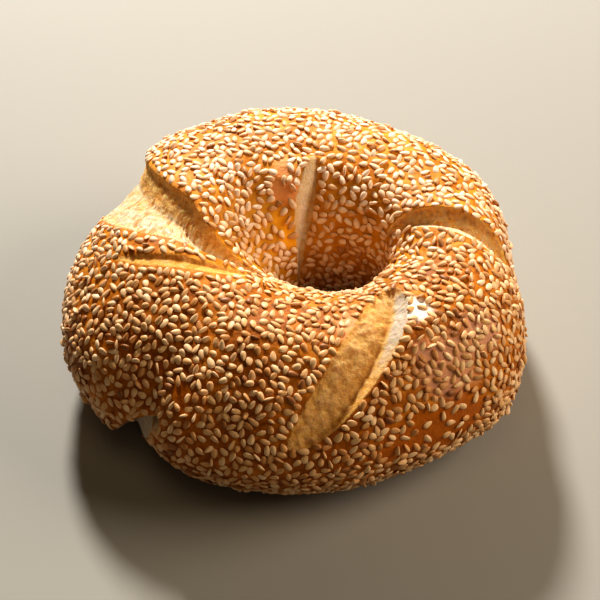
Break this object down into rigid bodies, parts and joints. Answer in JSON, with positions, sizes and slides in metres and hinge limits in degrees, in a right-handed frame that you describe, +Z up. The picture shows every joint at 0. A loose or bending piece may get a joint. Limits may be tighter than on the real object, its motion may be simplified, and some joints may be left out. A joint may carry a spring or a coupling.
{
  "type": "sesame bagel",
  "caption": "Round twisted bread ring with an off-centre hole, torn and split crust showing pale crumb, coated all over in sesame seeds. Rests on a flat foot.",
  "frame": {"origin": "centre of the flat foot's surroundings: the middle of the bounding box in X and Y, on the surface that the bagel rests on", "axes": "+Z up through the hole, +X to the right and +Y away from a viewer who stands where the picture was taken"},
  "size_m": [0.1303, 0.1287, 0.0511],
  "materials": {
    "crust": "baked golden-brown bread crust with a soft sheen, under pale toasted sesame seeds",
    "seed": "toasted hulled sesame, smooth with a soft waxy sheen",
    "crumb": "torn bread crumb, matt and fibrous"
  },
  "bodies": {
    "root": {"bagel": "crust"}
  },
  "joints": []
}
